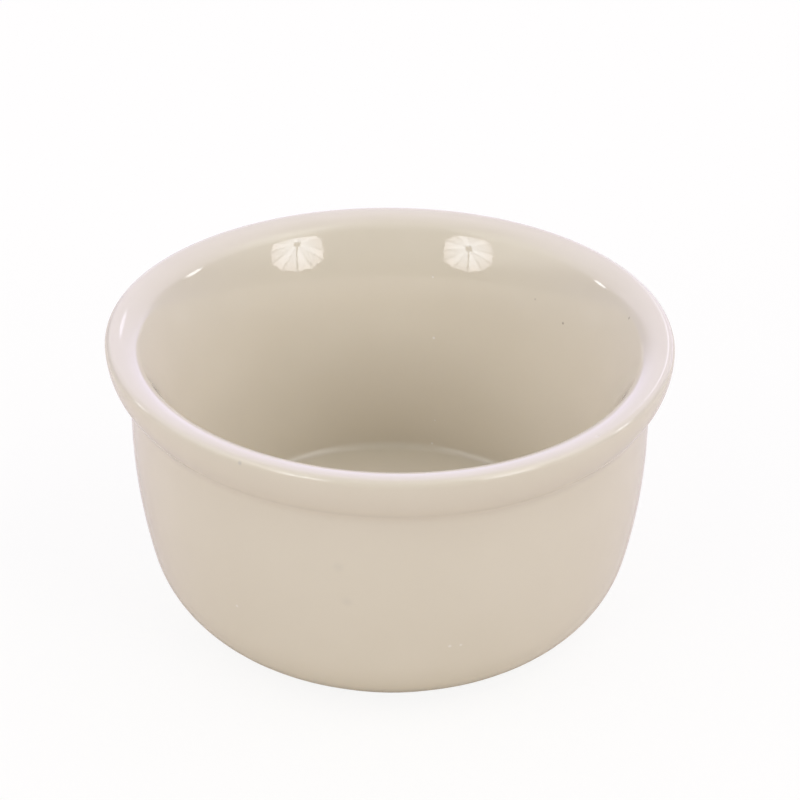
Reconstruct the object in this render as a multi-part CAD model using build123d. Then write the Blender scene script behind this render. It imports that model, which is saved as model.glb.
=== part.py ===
from build123d import *
import os

os.makedirs("parts", exist_ok=True)

# A small round baking dish, turned about the Z axis, in millimetres.
# It stands on z = 0 on a bare foot ring. Everything above the ring wears a coat of glaze.

# Driving dimensions
rim_diameter = 108.0
height = 59.0
floor_height = 10.0

# The outside narrows from the rim to the foot. Each inset is measured on the radius, from the line above it.
wall_inset = 4.25
wall_peak_drop = 18.6
belly_inset = 2.85
belly_height = 14.8
foot_inset = 11.4
foot_ring_width = 4.0
foot_height = 1.0
foot_flare = 0.5
foot_edge_radius = 0.35
well_depth = 2.0
well_corner_radius = 0.8
glaze_thickness = 0.35

# The lip, from its outer edge to the straight part of the inner wall
lip_edge_radius = 1.2
lip_edge_angle = 90.0
crown_radius = 7.6
crown_angle = 31.0
inner_edge_radius = 3.95
inner_edge_angle = 29.5
flare_radius = 43.0
flare_angle = 21.0
heel_radius = 1.6

# The band round the outside of the lip
band_flank_radius = 11.75
band_flank_angle = 48.0
groove_radius = 4.0

rim_radius = rim_diameter / 2
wall_radius = rim_radius - wall_inset
belly_radius = wall_radius - belly_inset
foot_radius = belly_radius - foot_inset
well_radius = foot_radius - foot_ring_width


def outside_edges():
    """The outside from the underside's centre to the top of the lip, as (radius, height) in the XY plane."""
    foot_top = (foot_radius + foot_flare, foot_height)
    belly = (belly_radius, belly_height)
    wall_peak = (wall_radius, height - wall_peak_drop)
    band_top = (rim_radius, height - lip_edge_radius)
    band_flank = JernArc(band_top, (0, -1), band_flank_radius, -band_flank_angle)
    upper_wall = TangentArc(wall_peak, band_flank @ 1, tangent=(0, 1))
    lower_wall = TangentArc(wall_peak, belly, tangent=(0, -1))
    underside = TangentArc(belly, foot_top, tangent=lower_wall % 1)
    foot = Polyline((0, well_depth), (well_radius, well_depth), (well_radius, 0), (foot_radius, 0), foot_top)
    return foot.edges() + [underside, lower_wall, upper_wall, band_flank]


def inside_edges():
    """The lip and the bowl, from the lip's outer edge to the centre of the floor."""
    band_top = (rim_radius, height - lip_edge_radius)
    lip_edge = JernArc(band_top, (0, 1), lip_edge_radius, lip_edge_angle)
    crown = JernArc(lip_edge @ 1, lip_edge % 1, crown_radius, crown_angle)
    inner_edge = JernArc(crown @ 1, crown % 1, inner_edge_radius, inner_edge_angle)
    flare = JernArc(inner_edge @ 1, inner_edge % 1, flare_radius, flare_angle)
    wall_top = flare @ 1
    slope = flare % 1
    drop = wall_top.Y - floor_height
    heel = (wall_top.X - drop * slope.X / slope.Y, floor_height)
    bowl = Polyline(wall_top, heel, (0, floor_height))
    return [lip_edge, crown, inner_edge, flare] + bowl.edges()


def round_corner(face, corner, radius):
    """Rounds the one corner of a section that lies nearest to a point."""
    nearest = face.vertices().sort_by_distance(Vertex(*corner))[0]
    return fillet(nearest, radius)


def half_section():
    """The whole dish, clay and glaze together, cut through on one side of its axis."""
    outside = outside_edges()
    inside = inside_edges()
    axis_line = Line((0, floor_height), (0, well_depth))
    section = make_face(outside + inside + [axis_line])
    heel = inside[-2] @ 1
    neck = outside[-1] @ 1
    section = round_corner(section, heel, heel_radius)
    section = round_corner(section, neck, groove_radius)
    section = round_corner(section, (well_radius, well_depth), well_corner_radius)
    section = round_corner(section, (well_radius, 0), foot_edge_radius)
    section = round_corner(section, (foot_radius, 0), foot_edge_radius)
    return section


def clay_section(dish):
    """The clay is the dish less one coat of glaze, but the foot ring keeps its full size and stays bare."""
    whole = dish + mirror(dish, about=Plane.YZ)
    under_glaze = offset(whole, amount=-glaze_thickness)
    half = Pos(rim_radius / 2, height / 2) * Rectangle(rim_radius, height)
    foot_zone = Pos(rim_radius / 2, foot_height / 2) * Rectangle(rim_radius, foot_height)
    return (under_glaze & half) + (dish & foot_zone)


def turned(section):
    """A section turned once round the Z axis."""
    return revolve(Plane.XZ * section, axis=Axis.Z)


def write_node(solid, node):
    solid.label = node
    export_step(solid, f"parts/{node}.step")


dish = half_section()
clay = clay_section(dish)
glaze = dish - clay
coats = glaze.faces().sort_by(Axis.Y)

write_node(turned(clay), "stoneware_body")
write_node(turned(coats[-1]), "glaze_coat")
write_node(turned(coats[0]), "foot_well_glaze")
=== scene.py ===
# %% [markdown]
# # A glazed stoneware ramekin
#
# A ramekin is one piece of fired clay with a coat of glass melted onto it. It has no parts that move, so
# all of its character is in one turned outline and in the way that the glaze takes the light. This lesson
# draws the outline, turns it with numpy, gives it a glaze that is clear over cream, and sets up the two
# studio umbrellas that shine back from the bowl.

# %% Load the fixed frame
import math

import bmesh
import bpy
import numpy as np
from mathutils import Matrix, Vector


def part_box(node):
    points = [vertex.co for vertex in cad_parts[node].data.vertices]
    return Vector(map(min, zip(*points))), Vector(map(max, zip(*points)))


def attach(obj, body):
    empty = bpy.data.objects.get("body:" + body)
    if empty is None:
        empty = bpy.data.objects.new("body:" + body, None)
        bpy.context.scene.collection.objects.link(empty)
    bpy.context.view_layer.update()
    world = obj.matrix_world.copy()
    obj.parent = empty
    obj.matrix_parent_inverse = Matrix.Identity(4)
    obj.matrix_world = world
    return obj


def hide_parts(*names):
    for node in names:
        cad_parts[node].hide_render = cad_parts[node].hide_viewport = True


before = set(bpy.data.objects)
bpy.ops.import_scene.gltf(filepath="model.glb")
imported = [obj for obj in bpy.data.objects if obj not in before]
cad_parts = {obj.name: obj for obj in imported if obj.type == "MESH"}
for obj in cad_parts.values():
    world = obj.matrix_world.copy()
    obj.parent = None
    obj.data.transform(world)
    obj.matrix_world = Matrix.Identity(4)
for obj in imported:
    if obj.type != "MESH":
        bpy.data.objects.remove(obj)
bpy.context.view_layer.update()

# %% [markdown]
# The sizes come first. The rim, the height and the foot are measured on the frame, so the visual pieces
# stand exactly where the CAD solids do. The rest of the outline is a handful of radii and angles, in
# millimetres, like those of the template that such a dish is turned against.

# %% Sizes of the dish, in millimetres
MM = 0.001

coat_low, coat_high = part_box("glaze_coat")
rim_radius = coat_high.x / MM
height = coat_high.z / MM
foot_height = coat_low.z / MM

floor_height = 10.0
wall_inset = 4.25
wall_peak_drop = 18.6
belly_inset = 2.85
belly_height = 14.8
foot_inset = 11.4
foot_flare = 0.5
foot_ring_width = 4.0
foot_edge_radius = 0.35
well_depth = 2.0
well_corner_radius = 0.8
glaze_thickness = 0.35

lip_edge_radius, lip_edge_angle = 1.2, 90.0
crown_radius, crown_angle = 7.6, 31.0
inner_edge_radius, inner_edge_angle = 3.95, 29.5
flare_radius, flare_angle = 43.0, 21.0
band_flank_radius, band_flank_angle = 11.75, 48.0
groove_radius = 4.0
heel_radius = 1.6

wall_radius = rim_radius - wall_inset
belly_radius = wall_radius - belly_inset
foot_radius = belly_radius - foot_inset
well_radius = foot_radius - foot_ring_width
print(f"rim radius {rim_radius:.2f} mm, height {height:.2f} mm, foot radius {foot_radius:.2f} mm")

# %% [markdown]
# A glossy glaze shows every flat in a curve, because each flat reflects its own patch of the room. The
# outline is therefore drawn with true arcs. A pen that knows its place and its heading is enough: it walks
# an arc of a given radius and angle, or finds the one arc that leaves it without a kink and lands on a
# given point.

# %% A pen for outlines
PEN_STEP = 0.02
LEAST_STEPS = 3
UP, DOWN, INWARD = (0.0, 1.0), (0.0, -1.0), (-1.0, 0.0)


def turned_left(vector, angle):
    """The vector turned left by angle degrees."""
    turn = math.radians(angle)
    x, y = vector
    return np.array([x * math.cos(turn) - y * math.sin(turn), x * math.sin(turn) + y * math.cos(turn)])


class Pen:
    """A pen on the (radius, height) plane. It leaves points one step apart behind it."""

    def __init__(self, place, heading):
        self.place = np.array(place, float)
        self.heading = np.array(heading, float) / np.hypot(*heading)
        self.points = [self.place[None]]

    def arc(self, radius, angle):
        """Walks an arc to the left, or to the right where the angle is negative. Its centre lies one radius
        to that side of the pen, and each point is the pen's place turned about the centre."""
        centre = self.place + math.copysign(radius, angle) * turned_left(self.heading, 90)
        steps = max(LEAST_STEPS, math.ceil(radius * math.radians(abs(angle)) / PEN_STEP))
        turns = np.radians(angle) * np.arange(1, steps + 1) / steps
        x, y = self.place - centre
        spun_x = x * np.cos(turns) - y * np.sin(turns)
        spun_y = x * np.sin(turns) + y * np.cos(turns)
        spun = np.stack([spun_x, spun_y], axis=1)
        self.points.append(centre + spun)
        self.place = centre + spun[-1]
        self.heading = turned_left(self.heading, angle)
        return self

    def arc_to(self, place):
        """Walks the arc that ends at a place. The chord's angle to the heading is half of the arc's turn."""
        chord = np.array(place, float) - self.place
        half_turn = math.atan2(self.heading[0] * chord[1] - self.heading[1] * chord[0], self.heading @ chord)
        radius = np.hypot(*chord) / 2 / math.sin(abs(half_turn))
        return self.arc(radius, math.degrees(2 * half_turn))

    def line_to(self, place):
        """Walks straight to a place."""
        run = np.array(place, float) - self.place
        steps = max(LEAST_STEPS, math.ceil(np.hypot(*run) / PEN_STEP))
        self.points.append(self.place + run * (np.arange(1, steps + 1) / steps)[:, None])
        self.place = self.points[-1][-1]
        self.heading = run / np.hypot(*run)
        return self

    def run(self):
        """All the points so far, in one array of rows."""
        return np.concatenate(self.points)


print("the pen leaves a point every", PEN_STEP, "mm")

# %% [markdown]
# A corner between two runs is rounded afterwards, as a potter's sponge would do it. The rounding is an arc
# again, and its centre lies one radius away from both runs.

# %% Round a corner


def left_normals(points):
    """For each point of a run, the unit vector to the left of the way that the run goes."""
    along = np.gradient(points, axis=0)
    along /= np.hypot(along[:, 0], along[:, 1])[:, None]
    return np.stack([-along[:, 1], along[:, 0]], axis=1)


def round_corner(before, after, radius):
    """Joins two runs that meet in a corner by an arc. Both are shifted by the radius to the inside of the
    turn, and where the shifted runs cross is the arc's centre. The arc leaves each run beside that
    crossing, and its radius is eased from the one run's distance to the other's, so that it meets both."""
    entry, leave = before[-1] - before[-2], after[1] - after[0]
    side = math.copysign(1.0, entry[0] * leave[1] - entry[1] * leave[0])
    shifted_before = before + side * radius * left_normals(before)
    shifted_after = after + side * radius * left_normals(after)
    gaps = np.linalg.norm(shifted_before[:, None] - shifted_after[None], axis=2)
    first, last = np.unravel_index(gaps.argmin(), gaps.shape)
    centre = (shifted_before[first] + shifted_after[last]) / 2
    start, end = before[first] - centre, after[last] - centre
    turn = math.atan2(start[0] * end[1] - start[1] * end[0], start @ end)
    steps = max(LEAST_STEPS, math.ceil(radius * abs(turn) / PEN_STEP))
    share = np.arange(1, steps) / steps
    turns = math.atan2(start[1], start[0]) + turn * share
    reach = np.hypot(*start) + (np.hypot(*end) - np.hypot(*start)) * share
    spun = np.stack([reach * np.cos(turns), reach * np.sin(turns)], axis=1)
    return np.concatenate([before[:first + 1], centre + spun, after[last:]])


print("a corner is rounded by at least", LEAST_STEPS, "steps of the pen")

# %% [markdown]
# The outline runs from the centre of the underside, out under the foot, up the wall, over the lip and down
# into the bowl, so that the clay is always on the pen's left. The wall below the band is one long arc that
# stands upright at its widest place, and the band springs out of it in a small groove.

# %% The outline of the whole dish
band_top = (rim_radius, height - lip_edge_radius)
wall_peak = (wall_radius, height - wall_peak_drop)
belly = (belly_radius, belly_height)
foot_top = (foot_radius + foot_flare, foot_height)


def outside_run():
    """From the top of the bare foot to the widest line of the lip."""
    flank = Pen(band_top, DOWN).arc(band_flank_radius, -band_flank_angle)
    upper_wall = Pen(wall_peak, UP).arc_to(flank.place)
    lower_wall = Pen(wall_peak, DOWN).arc_to(belly).arc_to(foot_top)
    wall = np.concatenate([lower_wall.run()[::-1], upper_wall.run()[1:]])
    return round_corner(wall, flank.run()[::-1], groove_radius)


def inside_run():
    """From the widest line of the lip, over its crown and down the bowl, to the centre of the floor."""
    lip = Pen(band_top, UP).arc(lip_edge_radius, lip_edge_angle).arc(crown_radius, crown_angle)
    lip.arc(inner_edge_radius, inner_edge_angle).arc(flare_radius, flare_angle)
    drop = lip.place[1] - floor_height
    heel = (lip.place[0] - drop * lip.heading[0] / lip.heading[1], floor_height)
    wall = lip.line_to(heel).run()
    floor = Pen(heel, INWARD).line_to((0.0, floor_height)).run()
    return round_corner(wall, floor, heel_radius)


def foot_run():
    """From the centre of the recess under the dish, over the bare foot ring, to its top edge."""
    recess = Pen((0.0, well_depth), UP).line_to((well_radius, well_depth)).run()
    recess_wall = Pen((well_radius, well_depth), DOWN).line_to((well_radius, 0.0)).run()
    sole = Pen((well_radius, 0.0), UP).line_to((foot_radius, 0.0)).run()
    rise = Pen((foot_radius, 0.0), UP).line_to(foot_top).run()
    run = round_corner(recess, recess_wall, well_corner_radius)
    run = round_corner(run, sole, foot_edge_radius)
    return round_corner(run, rise, foot_edge_radius)


skin = np.concatenate([outside_run(), inside_run()[1:]])
foot = foot_run()
print(f"the outline has {len(skin) + len(foot)} pen points")

# %% [markdown]
# The glaze is a real layer with its own thickness, so its underside is the same outline moved into the clay
# by that thickness. Before the outline is turned, it is thinned to the points that it needs: close together
# on the small radii, further apart on the long ones, and never changing all at once, so that the shading
# stays even.

# %% Thin the outline
TURN_STEP = math.radians(4.5)
LENGTH_STEP = 1.6
HIDDEN_TURN_STEP = math.radians(15.0)
HIDDEN_LENGTH_STEP = 4.0
BLEND_LENGTH = 1.2
SAME_PLACE = 1e-9


def evened(run, length_step=LENGTH_STEP, turn_step=TURN_STEP):
    """The run with fewer points. Each place wants a spacing that is no longer than length_step and turns no
    more than turn_step. These wishes are averaged along the run, and points are dealt out by their
    running total."""
    gaps = np.hypot(*np.diff(run, axis=0).T)
    run = run[np.concatenate([[True], gaps > SAME_PLACE])]
    steps = np.diff(run, axis=0)
    lengths = np.hypot(steps[:, 0], steps[:, 1])
    angles = np.unwrap(np.arctan2(steps[:, 1], steps[:, 0]))
    turning = np.abs(np.gradient(angles)) / lengths
    wish = np.maximum(1 / length_step, turning / turn_step)
    window = max(1, round(BLEND_LENGTH / PEN_STEP))
    padded = np.pad(wish, window, mode="edge")
    wish = np.convolve(padded, np.hanning(2 * window + 1) / window, mode="valid")
    total = np.concatenate([[0.0], np.cumsum(wish * lengths)])
    picks = np.linspace(0.0, total[-1], math.ceil(total[-1]) + 1)
    return np.stack([np.interp(picks, total, run[:, axis]) for axis in (0, 1)], axis=1)


def moved_in(run, distance):
    """The run moved to its left, into the clay, by a distance."""
    return run + distance * left_normals(run)


print("the skin needs", len(evened(skin)), "of its", len(skin), "pen points")

# %% [markdown]
# No fired dish is quite round. Clay softens in the kiln and moves a little, most at the free rim and hardly
# at the foot. Each row below is one ripple round the axis: its count of lobes, and its size in millimetres
# along the cosine and along the sine.

# %% Fire it
RIM_SWELL = ((2, -0.048, -0.085), (3, -0.218, 0.212))
FOOT_SWELL = ((2, 0.109, -0.068),)
RIM_LIFT = ((1, -0.118, -0.021), (2, 0.015, 0.0))
RIM_SLIDE = -0.23


def ripple(turn, rows):
    """The sum over the rows of a cos(n t) + b sin(n t), where n is the count of lobes and t the turn."""
    return sum(along * np.cos(lobes * turn) + beside * np.sin(lobes * turn) for lobes, along, beside in rows)


def fired(points):
    """The points as the kiln left them. By its share of the height, a point's radius swells and shrinks in
    two and in three lobes round the axis, its level in one and in two, and the whole ring slides to one
    side."""
    x, y, z = np.moveaxis(points, -1, 0)
    turn, radius = np.arctan2(y, x), np.hypot(x, y)
    rise = z / height
    swell = rise * ripple(turn, RIM_SWELL) + (1 - rise) * ripple(turn, FOOT_SWELL)
    lift = rise * ripple(turn, RIM_LIFT) * radius / rim_radius
    stretch = 1 + swell / rim_radius
    return np.stack([x * stretch + RIM_SLIDE * rise, y * stretch, z + lift], axis=-1)


print("the rim slides", RIM_SLIDE, "mm to the side")

# %% [markdown]
# Turning the outline takes no loop over points. The outline is copied round the axis in one numpy
# expression, and each pair of neighbouring points and turns becomes a four-sided face.

# %% Turn it
SIDES = 360
WELD_DISTANCE = 0.001 * MM


def turned(name, outline):
    """A surface of revolution. The outline's point (r, z), turned by t about the axis, lies at
    (r cos t, r sin t, z), and neighbouring points and turns make one four-sided face."""
    turns = np.arange(SIDES) * 2 * math.pi / SIDES
    radius, level = outline[:, 0, None], outline[:, 1, None]
    grid = fired(np.stack([radius * np.cos(turns), radius * np.sin(turns), level + 0 * turns], axis=2)) * MM
    here = np.arange(len(outline) - 1)[:, None] * SIDES + np.arange(SIDES)
    beside = np.roll(here, -1, axis=1)
    faces = np.stack([here, beside, beside + SIDES, here + SIDES], axis=2).reshape(-1, 4)
    mesh = bpy.data.meshes.new(name)
    mesh.from_pydata(grid.reshape(-1, 3), [], faces)
    weld(mesh)
    mesh.shade_smooth()
    piece = bpy.data.objects.new(name, mesh)
    bpy.context.collection.objects.link(piece)
    print(f"{name}: {len(outline)} rings, {sum(len(face.vertices) - 2 for face in mesh.polygons)} triangles")
    return piece


def weld(mesh):
    """Merges the points that coincide: each ring on the axis becomes one pole, and a closed outline's two
    ends meet."""
    work = bmesh.new()
    work.from_mesh(mesh)
    bmesh.ops.remove_doubles(work, verts=work.verts, dist=WELD_DISTANCE)
    work.to_mesh(mesh)
    work.free()


print("a piece has", SIDES, "sides")

# %% [markdown]
# Three pieces come from the same outline. The clay is the core and shows only as the bare ring that the
# dish stands on, because glaze there would stick it to the kiln shelf. The large coat goes from that ring
# over the outside, the lip and the bowl, and the small coat fills the recess inside the ring. There it ends
# at the last point that is still as high as the foot.

# %% Clay and glaze
under_skin = moved_in(skin, glaze_thickness)
coat_foot = np.array([[foot_top[0] - glaze_thickness, foot_height]])
high_enough = foot[:, 1] >= foot_height - PEN_STEP / 2
in_recess = foot[:, 0] < well_radius + glaze_thickness
recess_end = np.flatnonzero(high_enough & in_recess)[-1] + 1
recess, ring = foot[:recess_end], foot[recess_end - 1:]
over_recess = moved_in(recess, glaze_thickness)

hidden_bowl = evened(under_skin, HIDDEN_LENGTH_STEP, HIDDEN_TURN_STEP)
hidden_recess = evened(over_recess, HIDDEN_LENGTH_STEP, HIDDEN_TURN_STEP)

coat_outline = np.concatenate([hidden_bowl[::-1], coat_foot, evened(skin)])
well_outline = np.concatenate([evened(recess), hidden_recess[::-1]])
clay_outline = np.concatenate([hidden_recess, evened(ring), coat_foot, hidden_bowl])

coat = turned("glazed_surface", coat_outline)
clay = turned("stoneware_core", clay_outline)
well_coat = turned("glazed_recess", well_outline)

# %% [markdown]
# The frame knows the dish by its CAD nodes. Each visual piece rides on the body that its node belongs to, the
# CAD node that it stands in for is hidden, and the piece isn't moved any more.

# %% Put the pieces in the frame
for piece, node, slot in ((coat, "glaze_coat", "glaze"), (clay, "stoneware_body", "stoneware"),
                          (well_coat, "foot_well_glaze", "glaze")):
    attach(piece, "root")
    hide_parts(node)
print("3 pieces stand for the 3 CAD nodes")

# %% [markdown]
# Materials are made of nodes that pass numbers and colours to each other. Python can wire them as well as a
# mouse can, and a few small helpers keep the wiring readable. Each adds one node, or a short chain of them,
# and gives back the socket that holds the result.

# %% Helpers for shader nodes
# A Mix node keeps its colours behind its sockets for numbers and vectors, under names that are the same.
MIX_FIRST, MIX_SECOND, MIX_RESULT = 6, 7, 2


def link(tree, start, end):
    """Joins two sockets."""
    tree.links.new(start, end)


def feed(tree, socket, value):
    """Gives a socket a plain value, or joins it to the socket that the value comes from."""
    if isinstance(value, bpy.types.NodeSocket):
        link(tree, value, socket)
    else:
        socket.default_value = value


def maths(tree, operation, *values):
    """A Math node. Each value is a number or a socket."""
    node = tree.nodes.new("ShaderNodeMath")
    node.operation = operation
    for socket, value in zip(node.inputs, values):
        feed(tree, socket, value)
    return node.outputs[0]


def vectors(tree, operation, *values):
    """A Vector Math node. Each value is a vector or a socket."""
    node = tree.nodes.new("ShaderNodeVectorMath")
    node.operation = operation
    for socket, value in zip(node.inputs, values):
        feed(tree, socket, value)
    return node.outputs["Value" if operation == "DOT_PRODUCT" else "Vector"]


def level_length(tree, x, y):
    """The length of an arrow on the level, which is the root of x squared plus y squared."""
    squares = maths(tree, "ADD", maths(tree, "MULTIPLY", x, x), maths(tree, "MULTIPLY", y, y))
    return maths(tree, "SQRT", squares)


def cloud(tree, place, size, detail):
    """Noise from 0 to 1 whose lumps are about one size across, in millimetres."""
    node = tree.nodes.new("ShaderNodeTexNoise")
    node.inputs["Scale"].default_value = 1 / (size * MM)
    node.inputs["Detail"].default_value = detail
    link(tree, place, node.inputs["Vector"])
    return node.outputs[0]


def eased(tree, value, start, end):
    """A smooth climb from 0, where the value is at its start, to 1, where it is at its end."""
    node = tree.nodes.new("ShaderNodeMapRange")
    node.interpolation_type = "SMOOTHSTEP"
    for name, number in (("Value", value), ("From Min", start), ("From Max", end)):
        feed(tree, node.inputs[name], number)
    return node.outputs["Result"]


def blend(tree, share, first, second):
    """The first colour where the share is 0, and the second where it is 1."""
    node = tree.nodes.new("ShaderNodeMix")
    node.data_type = "RGBA"
    sockets = (node.inputs["Factor"], node.inputs[MIX_FIRST], node.inputs[MIX_SECOND])
    for socket, value in zip(sockets, (share, first, second)):
        feed(tree, socket, value)
    return node.outputs[MIX_RESULT]


def principled(name):
    """A new material and its Principled BSDF node."""
    material = bpy.data.materials.new(name)
    material.use_nodes = True
    return material, material.node_tree.nodes["Principled BSDF"]


print("the helpers are ready")

# %% [markdown]
# An effect that is used more than once goes into a node group, which has sockets of its own like any other
# node. Low in the bowl the cream is painted a little deeper, as painted shade, and everywhere it varies
# softly. The skin of the glass isn't dead flat either: like orange peel, it waves by some thousandths of a
# millimetre, just enough to fray the edge of a reflection.

# %% Glaze: its tone, painted shade low in the bowl, and its skin
CREAM = (0.695, 0.637, 0.519, 1.0)
DEEP_CREAM = (0.665, 0.605, 0.482, 1.0)
# Painted shade: inside the bowl's reach and below a top height, the cream is painted deeper towards the
# floor, by a small share.
BOWL_REACH = 46.25
PAINTED_SHADE_TOP = 34.0
PAINTED_SHADE_STRENGTH = 0.05
DRIFT_SIZE, DRIFT_DETAIL = 22.0, 2.0
DRIFT_START, DRIFT_END = 0.3, 0.7
DRIFT_SHARE = 0.35
PEEL_SIZE, PEEL_DETAIL = 1.9, 1.0


def new_group(name, inputs, outputs):
    """An empty shader node group with sockets, given as name and kind, and its input and output nodes."""
    group = bpy.data.node_groups.new(name, "ShaderNodeTree")
    for title, kind in inputs:
        group.interface.new_socket(title, in_out="INPUT", socket_type=kind)
    for title, kind in outputs:
        group.interface.new_socket(title, in_out="OUTPUT", socket_type=kind)
    return group, group.nodes.new("NodeGroupInput"), group.nodes.new("NodeGroupOutput")


tone_and_shade_group, start, end = new_group("glaze_tone_and_painted_shade", [("Place", "NodeSocketVector")],
                                 [("Colour", "NodeSocketColor"), ("Skin", "NodeSocketFloat")])
place = start.outputs["Place"]
split = tone_and_shade_group.nodes.new("ShaderNodeSeparateXYZ")
link(tone_and_shade_group, place, split.inputs[0])
x, y, z = split.outputs
inside = maths(tone_and_shade_group, "LESS_THAN", level_length(tone_and_shade_group, x, y), BOWL_REACH * MM)
# Painted shade: from the top height down to the floor, inside the bowl, the cream is painted a little deeper.
painted_shade_low = maths(tone_and_shade_group, "MULTIPLY", eased(tone_and_shade_group, z, PAINTED_SHADE_TOP * MM, floor_height * MM), inside)
drift = eased(tone_and_shade_group, cloud(tone_and_shade_group, place, DRIFT_SIZE, DRIFT_DETAIL), DRIFT_START, DRIFT_END)
painted_shade_share = maths(tone_and_shade_group, "MULTIPLY", painted_shade_low, PAINTED_SHADE_STRENGTH)
deeper_cream_share = maths(tone_and_shade_group, "MULTIPLY_ADD", drift, DRIFT_SHARE, painted_shade_share)
link(tone_and_shade_group, blend(tone_and_shade_group, deeper_cream_share, CREAM, DEEP_CREAM), end.inputs["Colour"])
link(tone_and_shade_group, cloud(tone_and_shade_group, place, PEEL_SIZE, PEEL_DETAIL), end.inputs["Skin"])
print("glaze_tone_and_painted_shade has", len(tone_and_shade_group.nodes), "nodes")

# %% [markdown]
# Every fired dish has its own few marks. This one has three iron specks on the inside wall, three grey scuffs
# outside, three pale spots near the foot, a line of four pinholes down the far wall and one pinhole on the
# lip. The four pinholes down the far wall also get painted highlights: pale spots at their places that stand
# in for the glints of light on them. One group draws a soft round spot about a place on the dish, and each
# mark is that group once more with its own place and reach. A row is x, y, z and reach in millimetres, and
# strength.

# %% Glaze: its marks, and painted highlights on the pinholes
IRON_SPECKS = ((34.4, 26.4, 46.4, 0.42, 0.75), (45.9, 10.6, 56.3, 0.45, 0.6), (29.0, 33.0, 48.3, 0.35, 0.35))
GREY_SCUFFS = ((-26.2, -47.0, 58.2, 0.6, 0.5), (-9.2, -48.9, 37.9, 1.6, 0.12), (-7.6, -48.7, 30.3, 1.6, 0.12))
# The first three pale spots are the dish's own marks near the foot; the last four are painted highlights on
# the far wall's pinholes.
PALE_SPOTS_AND_PAINTED_GLINTS = ((11.0, -46.6, 19.2, 0.5, 0.6), (13.0, -46.0, 19.1, 0.45, 0.6), (-28.0, -39.3, 22.5, 0.45, 0.6),
              (8.3, 43.0, 48.0, 0.35, 0.7), (8.7, 40.4, 35.0, 0.45, 0.9), (9.2, 37.5, 16.7, 0.35, 0.7),
              (8.7, 36.8, 11.4, 0.4, 0.9))
PINHOLES = ((8.3, 43.0, 48.0, 0.4, 1.0), (8.7, 40.4, 35.0, 0.4, 1.0), (9.2, 37.5, 16.7, 0.4, 1.0),
            (8.7, 36.8, 11.4, 0.4, 1.0), (36.4, -38.0, 58.9, 0.5, 1.0))
IRON, GREY, PALE_AND_GLINT_TONE = (0.2, 0.15, 0.11, 1.0), (0.42, 0.4, 0.38, 1.0), (0.85, 0.82, 0.78, 1.0)

spot, start, end = new_group("spot", [("Place", "NodeSocketVector"), ("Centre", "NodeSocketVector"),
                                      ("Reach", "NodeSocketFloat"), ("Strength", "NodeSocketFloat")],
                             [("Mask", "NodeSocketFloat")])
away = spot.nodes.new("ShaderNodeVectorMath")
away.operation = "DISTANCE"
link(spot, start.outputs["Place"], away.inputs[0])
link(spot, start.outputs["Centre"], away.inputs[1])
near = eased(spot, away.outputs["Value"], start.outputs["Reach"], 0.0)
link(spot, maths(spot, "MULTIPLY", near, start.outputs["Strength"]), end.inputs["Mask"])


def marks(tree, place, rows):
    """The mask of all the spots in some rows: at each place, the strongest spot counts."""
    mask = None
    for x, y, z, reach, strength in rows:
        node = tree.nodes.new("ShaderNodeGroup")
        node.node_tree = spot
        link(tree, place, node.inputs["Place"])
        node.inputs["Centre"].default_value = (x * MM, y * MM, z * MM)
        node.inputs["Reach"].default_value = reach * MM
        node.inputs["Strength"].default_value = strength
        mask = node.outputs[0] if mask is None else maths(tree, "MAXIMUM", mask, node.outputs[0])
    return mask


print(len(IRON_SPECKS + GREY_SCUFFS + PALE_SPOTS_AND_PAINTED_GLINTS), "tinted marks and", len(PINHOLES), "pinholes")

# %% [markdown]
# The glaze itself is a Principled BSDF. Clear glass over cream needs no second layer: its own reflection is
# that of glass, with a refractive index of 1.52 and almost no roughness, over a colour that scatters light.
# The clearer the glass, the sharper the umbrellas shine back, so the roughness stays low.

# %% Glaze: the material
GLAZE_ROUGHNESS = 0.03
GLASS_INDEX = 1.52
SKIN_DEPTH = 0.0035
PINHOLE_DEPTH = 0.07

glaze, surface = principled("cream_glaze")
surface.inputs["Roughness"].default_value = GLAZE_ROUGHNESS
surface.inputs["IOR"].default_value = GLASS_INDEX
tree = glaze.node_tree
place = tree.nodes.new("ShaderNodeTexCoord").outputs["Object"]
base = tree.nodes.new("ShaderNodeGroup")
base.node_tree = tone_and_shade_group
link(tree, place, base.inputs["Place"])
colour = base.outputs["Colour"]
# The pale rows are partly real pale spots and partly painted highlights on the four pinholes of the far wall.
for rows, tone in ((IRON_SPECKS, IRON), (GREY_SCUFFS, GREY), (PALE_SPOTS_AND_PAINTED_GLINTS, PALE_AND_GLINT_TONE)):
    colour = blend(tree, marks(tree, place, rows), colour, tone)
link(tree, colour, surface.inputs["Base Color"])


def bumped(tree, surface, height):
    """Tilts the shading by a height in millimetres."""
    bump = tree.nodes.new("ShaderNodeBump")
    bump.inputs["Strength"].default_value = 1.0
    bump.inputs["Distance"].default_value = MM
    link(tree, height, bump.inputs["Height"])
    link(tree, bump.outputs["Normal"], surface.inputs["Normal"])


wave = maths(tree, "MULTIPLY", base.outputs["Skin"], SKIN_DEPTH)
bumped(tree, surface, maths(tree, "MULTIPLY_ADD", marks(tree, place, PINHOLES), -PINHOLE_DEPTH, wave))
coat.data.materials.append(glaze)
well_coat.data.materials.append(glaze)
print("cream_glaze has", len(tree.nodes), "nodes")

# %% [markdown]
# The ring that the dish stands on is bare stoneware. It is matt and a little rough, darker than the glaze,
# and speckled by the iron in the clay. A cell pattern gives the specks: each cell has a random grey, and
# only the darkest cells, near their middles, count.

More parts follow.
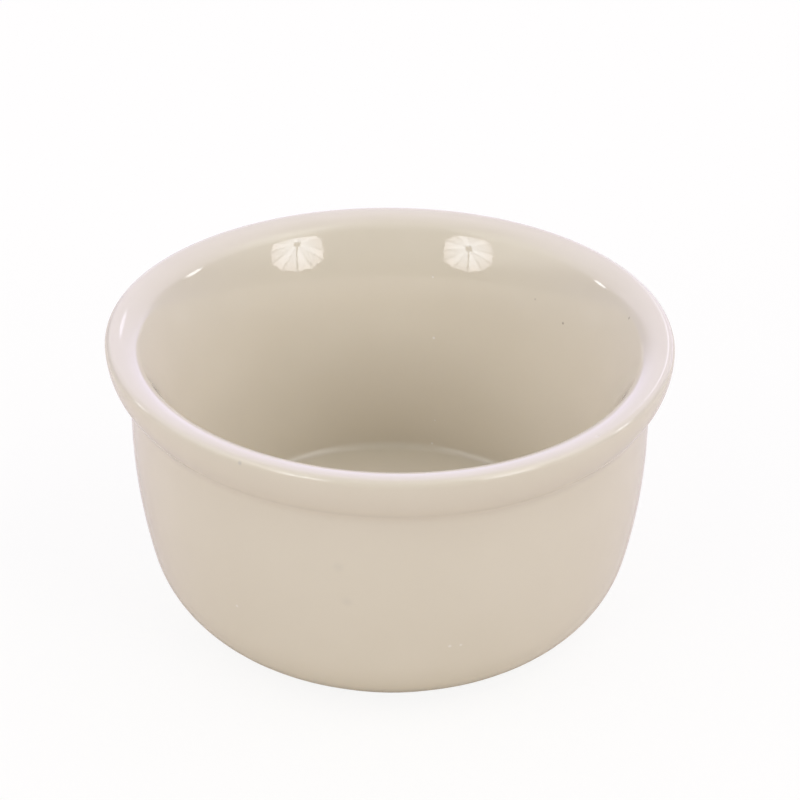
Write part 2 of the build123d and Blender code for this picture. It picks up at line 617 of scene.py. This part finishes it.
# %% Bare stoneware
BARE_CLAY, DARK_CLAY, IRON_IN_CLAY = (0.62, 0.54, 0.44, 1.0), (0.53, 0.44, 0.34, 1.0), (0.2, 0.14, 0.1, 1.0)
CLAY_ROUGHNESS = 0.85
GRAIN_SIZE, GRAIN_DETAIL = 0.5, 4.0
GRAIN_START, GRAIN_END = 0.35, 0.65
GRAIN_DEPTH = 0.05
SPECK_CELL = 0.9
SPECK_EDGE, SPECK_CORE = 0.35, 0.15
NO_SPECK, FULL_SPECK = 0.12, 0.08

bare, surface = principled("bare_stoneware")
surface.inputs["Roughness"].default_value = CLAY_ROUGHNESS
tree = bare.node_tree
place = tree.nodes.new("ShaderNodeTexCoord").outputs["Object"]
grain = cloud(tree, place, GRAIN_SIZE, GRAIN_DETAIL)
cells = tree.nodes.new("ShaderNodeTexVoronoi")
cells.inputs["Scale"].default_value = 1 / (SPECK_CELL * MM)
link(tree, place, cells.inputs["Vector"])
random_grey = tree.nodes.new("ShaderNodeSeparateColor")
link(tree, cells.outputs["Color"], random_grey.inputs[0])
rare = eased(tree, random_grey.outputs[0], NO_SPECK, FULL_SPECK)
middle = eased(tree, cells.outputs["Distance"], SPECK_EDGE, SPECK_CORE)
clay_colour = blend(tree, eased(tree, grain, GRAIN_START, GRAIN_END), BARE_CLAY, DARK_CLAY)
clay_colour = blend(tree, maths(tree, "MULTIPLY", rare, middle), clay_colour, IRON_IN_CLAY)
link(tree, clay_colour, surface.inputs["Base Color"])
bumped(tree, surface, maths(tree, "MULTIPLY", grain, GRAIN_DEPTH))
clay.data.materials.append(bare)
print("bare_stoneware has", len(tree.nodes), "nodes")

# %% [markdown]
# The dish was photographed on a white table in front of a bright backdrop. The table is a plain disc. To
# the camera it looks almost white, as it does in an exposure that is set for the dish, but the dish itself
# sees the table as it is: paper that is a little grey and catches a soft shadow. A Light Path node tells
# the two apart.

# %% The table
TABLE_RADIUS = 1500.0
TABLE_SIDES = 96
PAPER_WHITE = (0.785, 0.735, 0.66, 1.0)
PAPER_ROUGHNESS = 0.9
BURNT_OUT = 0.86
BURNT_WHITE = (1.02, 1.02, 1.02)


def emitter(tree, colour):
    """An Emission node of one colour."""
    node = tree.nodes.new("ShaderNodeEmission")
    node.inputs["Color"].default_value = (*colour, 1.0)
    return node


table_mesh = bpy.data.meshes.new("white_table")
rim_turns = np.arange(TABLE_SIDES) * 2 * math.pi / TABLE_SIDES
rim_points = np.stack([np.cos(rim_turns), np.sin(rim_turns), 0 * rim_turns], axis=1) * TABLE_RADIUS * MM
table_mesh.from_pydata(rim_points, [], [range(TABLE_SIDES)])
table = bpy.data.objects.new("white_table", table_mesh)
bpy.context.collection.objects.link(table)

paper, surface = principled("white_paper")
surface.inputs["Base Color"].default_value = PAPER_WHITE
surface.inputs["Roughness"].default_value = PAPER_ROUGHNESS
tree = paper.node_tree
path = tree.nodes.new("ShaderNodeLightPath")
mixed = tree.nodes.new("ShaderNodeMixShader")
link(tree, maths(tree, "MULTIPLY", path.outputs["Is Camera Ray"], BURNT_OUT), mixed.inputs["Fac"])
link(tree, surface.outputs["BSDF"], mixed.inputs[1])
link(tree, emitter(tree, BURNT_WHITE).outputs[0], mixed.inputs[2])
link(tree, mixed.outputs[0], tree.nodes["Material Output"].inputs["Surface"])
table_mesh.materials.append(paper)
print("table", 2 * TABLE_RADIUS, "mm across")

# %% [markdown]
# Two open umbrellas light the dish, and their images are the clearest thing in its glaze, so they are built
# as umbrellas and not as square lights: a cloth that sags at the hem from rib to rib, and in front of it
# the lamp on its stand. Only their glow matters. It is stored as a colour per point, which the emission
# reads back, so that no picture is needed. The cloth is whitest round the lamp and warmer and dimmer at the
# hem, each second panel is a little darker, and each rib leaves a crease.

# %% The cloth of an umbrella
UMBRELLA_RINGS = 40
UMBRELLA_SPOKES = 240
RIBS = 12
LOW_WIDENING = 0.35
HEM_SAG = 2.6
LAMP_HALF = 0.115
STAND_HALF = 0.028
LAMP_GLOW = 0.08
CREASE_WIDTH = 0.045
CREASE_LOSS, CREASE_AT_HUB = 0.75, 0.4
SECOND_LOSS = 0.2
NEAR_LAMP = np.array([1.1, 1.15, 1.26])
HEM_LOSS = np.array([0.26, 0.38, 0.5])


def umbrella_plan(hub):
    """The cloth on a flat plan with hem radius 1. A point at the share s of the way from the hub to the hem,
    turned by t, lies at s h (cos t, sin t) plus (1 - s) times the hub's place, where h falls between the
    ribs. Below the middle, the plan widens with the drop."""
    share = np.linspace(0.0, 1.0, UMBRELLA_RINGS + 1)[:, None]
    around = np.arange(UMBRELLA_SPOKES) * 2 * math.pi / UMBRELLA_SPOKES
    panel = 2 * math.pi / RIBS
    between = np.mod(around, panel) - panel / 2
    hem = 1 - HEM_SAG * (1 - math.cos(panel / 2) / np.cos(between))
    x = share * hem * np.cos(around) + (1 - share) * hub[0]
    y = share * hem * np.sin(around) + (1 - share) * hub[1]
    x = x * (1 + LOW_WIDENING * np.maximum(-y, 0.0))
    crease = np.exp(-((np.abs(between) - panel / 2) / CREASE_WIDTH) ** 2)
    second = np.floor(around / panel) % 2
    return x, y, share, crease, second


def umbrella_glow(x, y, share, crease, second, hub):
    """Red, green and blue per point: the colour near the lamp less a loss that grows with s squared. A crease
    loses more the nearer it is to the hem, each second panel loses a little, and the lamp and its stand are
    almost black."""
    glow = NEAR_LAMP - HEM_LOSS * share[..., None] ** 2
    deepening = CREASE_AT_HUB + (1 - CREASE_AT_HUB) * share
    shade = (1 - CREASE_LOSS * crease * deepening) * (1 - SECOND_LOSS * second)
    glow = glow * shade[..., None]
    lamp = (np.abs(x - hub[0]) < LAMP_HALF) & (np.abs(y - hub[1]) < LAMP_HALF)
    stand = (np.abs(x - hub[0]) < STAND_HALF) & (y < hub[1])
    return np.where((lamp | stand)[..., None], LAMP_GLOW, glow)


print("an umbrella has", RIBS, "ribs")

# %% [markdown]
# Each umbrella faces the dish from 2.4 m away. Its flat plan is laid on two arrows that stand square to the
# line to the dish, and its glow goes into a colour attribute. An azimuth counts from the camera's side to
# the right.

# %% Set up the umbrellas
UMBRELLA_DISTANCE = 2400.0
UMBRELLA_STRENGTH = 6.6
BLACK = (0.0, 0.0, 0.0)

# Name, azimuth, elevation and half angle in degrees, and the hub's place on the plan
UMBRELLAS = (("left_umbrella", -36.3, 24.0, 11.9, (0.0, 0.12)),
             ("right_umbrella", 46.2, 24.0, 12.3, (0.0, 0.25)))


def pointing(azimuth, elevation):
    """The unit vector from the dish towards an azimuth and an elevation, in degrees."""
    turn, rise = math.radians(azimuth), math.radians(elevation)
    return np.array([math.sin(turn) * math.cos(rise), -math.cos(turn) * math.cos(rise), math.sin(rise)])


def umbrella_cloth(name):
    """An emission that reads its colour from the points."""
    material = bpy.data.materials.new(name)
    material.use_nodes = True
    tree = material.node_tree
    tree.nodes.clear()
    read = tree.nodes.new("ShaderNodeAttribute")
    read.attribute_name = "glow"
    cloth = emitter(tree, BLACK)
    cloth.inputs["Strength"].default_value = UMBRELLA_STRENGTH
    link(tree, read.outputs["Color"], cloth.inputs["Color"])
    link(tree, cloth.outputs[0], tree.nodes.new("ShaderNodeOutputMaterial").inputs["Surface"])
    return material


def studio_umbrella(name, azimuth, elevation, half_angle, hub):
    """An umbrella that faces the dish from a direction, as wide as twice its half angle."""
    towards = pointing(azimuth, elevation)
    across = pointing(azimuth + 90.0, 0.0)
    upward = np.cross(towards, across)
    x, y, share, crease, second = umbrella_plan(hub)
    radius = UMBRELLA_DISTANCE * math.tan(math.radians(half_angle))
    points = towards * UMBRELLA_DISTANCE + radius * (x[..., None] * across + y[..., None] * upward)
    here = np.arange(UMBRELLA_RINGS)[:, None] * UMBRELLA_SPOKES + np.arange(UMBRELLA_SPOKES)
    beside = np.roll(here, -1, axis=1)
    faces = np.stack([here, beside, beside + UMBRELLA_SPOKES, here + UMBRELLA_SPOKES], axis=2).reshape(-1, 4)
    mesh = bpy.data.meshes.new(name)
    mesh.from_pydata(points.reshape(-1, 3) * MM, [], faces)
    glow = umbrella_glow(x, y, share, crease, second, hub).reshape(-1, 3)
    layer = mesh.attributes.new("glow", "FLOAT_COLOR", "POINT")
    layer.data.foreach_set("color", np.column_stack([glow, np.ones(len(glow))]).reshape(-1))
    mesh.materials.append(umbrella_cloth(name))
    umbrella = bpy.data.objects.new(name, mesh)
    bpy.context.collection.objects.link(umbrella)
    umbrella.visible_camera = False
    print(name, "at azimuth", azimuth, "and elevation", elevation)


for row in UMBRELLAS:
    studio_umbrella(*row)

# %% [markdown]
# The rest of the room is a soft glow that only depends on the direction. In front it is dark up to the
# umbrellas and pale above them, with a dark gap between the two. Behind the dish a backdrop, a little blue,
# reaches down to the table, and low down it ends on the left and on the right. Three small lamps stand
# behind the dish and at its sides, and each shows as a fine streak in the glaze. The camera itself sees
# plain white, as the photo does.
#
# The tables say how bright the front and the back are at an elevation in degrees. The other limits are
# parts of the direction's unit arrow: along y between front and back, along x to the side, and along z
# upwards.

# %% The glow of the room
GLOW_TOP = 2.5
HALFWAY = 0.5
FRONT_GLOW = ((-90, 0.0), (0, 0.0), (12, 0.1), (24, 1.4), (38, 2.15), (55, 2.15), (76, 0.6), (90, 0.2))
BACK_GLOW = ((-90, 1.45), (0, 1.45), (12, 1.36), (26, 1.1), (38, 0.95), (55, 1.05), (76, 0.45), (90, 0.2))
FRONT_TINT = (1.0, 1.0, 0.97)
BACK_TINT = (1.04, 0.98, 1.32)
BACK_START, BACK_FULL = -0.5, 0.6
LEAST_LEVEL = 0.001
LOW_SIDE_GAIN = -0.95
HIGH_SIDE_GAIN = 1.5
BACKDROP_LEFT, BEYOND_LEFT = -0.15, -0.5
BACKDROP_RIGHT, BEYOND_RIGHT = 0.6, 0.85
GAP_EDGE, GAP_CORE = 0.6, 0.9
GAP_TOP, GAP_BOTTOM = 0.99, 0.9
GAP_LOSS = -0.8
BACKDROP_LOW, BACKDROP_HIGH = 0.3, 0.5
BACKDROP_LOSS = -0.7

# Azimuth, elevation, and the angles from the middle at which the lamp's patch ends and is full, then its glow
LAMPS = ((171.5, 28.5, 3.4, 1.2, (0.75, 0.75, 0.95)),
         (-111.0, 19.0, 5.0, 2.5, (3.0, 3.0, 3.1)),
         (102.0, 21.0, 6.0, 3.0, (3.0, 3.0, 3.1)))


def by_elevation(tree, share, stops):
    """A ramp of glow. The share runs from 0, straight down, to 1, straight up."""
    ramp = tree.nodes.new("ShaderNodeValToRGB")
    ramp.color_ramp.interpolation = "EASE"
    handles = ramp.color_ramp.elements
    while len(handles) < len(stops):
        handles.new(HALFWAY)
    for handle, (angle, glow) in zip(handles, stops):
        handle.position = (angle + 90) / 180
        handle.color = (glow / GLOW_TOP, glow / GLOW_TOP, glow / GLOW_TOP, 1.0)
    link(tree, share, ramp.inputs["Fac"])
    return ramp.outputs["Color"]


print(len(FRONT_GLOW), "stops in front,", len(BACK_GLOW), "behind and", len(LAMPS), "small lamps")

# %% [markdown]
# The world's nodes put the glow together. The front and the back each have their ramp over the elevation,
# and a gain for what stands to the side. A smooth switch leads from the one to the other, and each lamp is
# a soft round patch about its direction.

# %% Wire the room
room = bpy.data.worlds.new("room")
bpy.context.scene.world = room
room.use_nodes = True
tree = room.node_tree
tree.nodes.clear()
direction = tree.nodes.new("ShaderNodeTexCoord").outputs["Generated"]
split = tree.nodes.new("ShaderNodeSeparateXYZ")
link(tree, direction, split.inputs[0])
x, y, z = split.outputs
share = maths(tree, "MULTIPLY_ADD", maths(tree, "ARCSINE", z), 1 / math.pi, HALFWAY)
level = maths(tree, "MAXIMUM", level_length(tree, x, y), LEAST_LEVEL)
away = maths(tree, "DIVIDE", y, level)
right = maths(tree, "DIVIDE", x, level)
behind = eased(tree, away, BACK_START, BACK_FULL)
lean = maths(tree, "MULTIPLY_ADD", maths(tree, "MAXIMUM", z, 0.0), HIGH_SIDE_GAIN, LOW_SIDE_GAIN)
front_gain = maths(tree, "MULTIPLY_ADD", right, lean, 1.0)
gap = eased(tree, away, -GAP_EDGE, -GAP_CORE)
below_top = eased(tree, z, GAP_TOP, GAP_BOTTOM)
gap_gain = maths(tree, "MULTIPLY_ADD", maths(tree, "MULTIPLY", gap, below_top), GAP_LOSS, 1.0)
front_gain = maths(tree, "MULTIPLY", front_gain, gap_gain)
beyond = maths(tree, "MAXIMUM", eased(tree, right, BACKDROP_LEFT, BEYOND_LEFT),
               eased(tree, right, BACKDROP_RIGHT, BEYOND_RIGHT))
low = eased(tree, z, BACKDROP_HIGH, BACKDROP_LOW)
back_gain = maths(tree, "MULTIPLY_ADD", maths(tree, "MULTIPLY", beyond, low), BACKDROP_LOSS, 1.0)
front = vectors(tree, "MULTIPLY", by_elevation(tree, share, FRONT_GLOW), FRONT_TINT)
back = vectors(tree, "MULTIPLY", by_elevation(tree, share, BACK_GLOW), BACK_TINT)
front = vectors(tree, "MULTIPLY", front, front_gain)
back = vectors(tree, "MULTIPLY", back, back_gain)
glow = blend(tree, behind, front, back)

for azimuth, elevation, edge, core, tint in LAMPS:
    facing = vectors(tree, "DOT_PRODUCT", direction, tuple(pointing(azimuth, elevation)))
    patch = eased(tree, facing, math.cos(math.radians(edge)), math.cos(math.radians(core)))
    glow = vectors(tree, "ADD", glow, vectors(tree, "MULTIPLY", patch, tint))

seen = tree.nodes.new("ShaderNodeBackground")
link(tree, glow, seen.inputs["Color"])
seen.inputs["Strength"].default_value = GLOW_TOP
plain = tree.nodes.new("ShaderNodeBackground")
plain.inputs["Color"].default_value = (1.0, 1.0, 1.0, 1.0)
mixed = tree.nodes.new("ShaderNodeMixShader")
link(tree, tree.nodes.new("ShaderNodeLightPath").outputs["Is Camera Ray"], mixed.inputs["Fac"])
link(tree, seen.outputs[0], mixed.inputs[1])
link(tree, plain.outputs[0], mixed.inputs[2])
link(tree, mixed.outputs[0], tree.nodes.new("ShaderNodeOutputWorld").inputs["Surface"])
print("the room has", len(tree.nodes), "nodes")

# %% [markdown]
# The camera stands where the photographer's did. Its place, its three angles and its focal length were
# found by laying the dish's circles over the edges in the photo. The view transform is Standard, because
# the photo keeps the plain contrast of a product picture.

# %% The camera
CAMERA_BACK = 406.62
CAMERA_HEIGHT = 282.35
CAMERA_YAW, CAMERA_PITCH, CAMERA_ROLL = 0.2262, 30.4223, 0.6818
FOCAL_PIXELS = 2444.0
PICTURE_SIZE = 800
SENSOR_WIDTH = 36.0


def photo_camera():
    """The camera looks along a line turned by the yaw and tipped down by the pitch, and rolls about it."""
    yaw, pitch, roll = (math.radians(angle) for angle in (CAMERA_YAW, CAMERA_PITCH, CAMERA_ROLL))
    ahead = Vector((math.sin(yaw) * math.cos(pitch), math.cos(yaw) * math.cos(pitch), -math.sin(pitch)))
    level = Vector((math.cos(yaw), -math.sin(yaw), 0.0))
    upright = level.cross(ahead)
    right = math.cos(roll) * level + math.sin(roll) * upright
    above = math.cos(roll) * upright - math.sin(roll) * level
    data = bpy.data.cameras.new("photo_camera")
    data.sensor_width = SENSOR_WIDTH
    data.lens = FOCAL_PIXELS * SENSOR_WIDTH / PICTURE_SIZE
    camera = bpy.data.objects.new("photo_camera", data)
    bpy.context.collection.objects.link(camera)
    pose = Matrix((right, above, -ahead)).transposed().to_4x4()
    pose.translation = Vector((0.0, -CAMERA_BACK, CAMERA_HEIGHT)) * MM
    camera.matrix_world = pose
    return camera


bpy.context.scene.camera = photo_camera()
bpy.context.scene.view_settings.view_transform = "Standard"
print("focal length", round(bpy.context.scene.camera.data.lens, 1), "mm")
